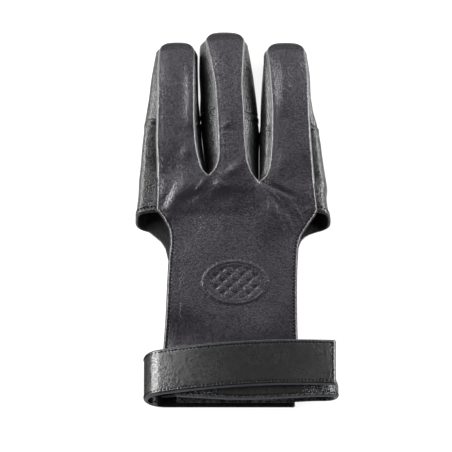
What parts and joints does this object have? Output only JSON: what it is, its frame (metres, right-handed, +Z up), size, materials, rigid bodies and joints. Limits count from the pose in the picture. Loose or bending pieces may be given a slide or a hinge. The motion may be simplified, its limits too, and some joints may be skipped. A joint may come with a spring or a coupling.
{
  "type": "archery glove",
  "caption": "Black leather archery glove with finger stalls, a smooth back panel ending in a tongue, and a hook and loop wrist strap.",
  "frame": {"origin": "centre of the glove's box, on the surface that its underside lies on", "axes": "+X towards the ring finger's side, +Y towards the fingertips, +Z up from the palm to the back of the hand"},
  "size_m": [0.1006, 0.1986, 0.0268],
  "materials": {
    "smooth_leather": "smooth black leather, softly polished",
    "grained_leather": "pebble-grained black leather",
    "strap_leather": "fine pebble-grained black leather, two layers sewn together",
    "loop_fabric": "black woven loop tape, fuzzy",
    "hook_fabric": "black woven hook tape"
  },
  "bodies": {
    "root": {"back_panel": "smooth_leather", "palm_panel": "grained_leather", "fingertip_index": "grained_leather", "fingertip_middle": "grained_leather", "fingertip_ring": "grained_leather", "wrist_band": "strap_leather", "closing_strap": "strap_leather", "loop_patch": "loop_fabric", "hook_patch": "hook_fabric"}
  },
  "joints": []
}
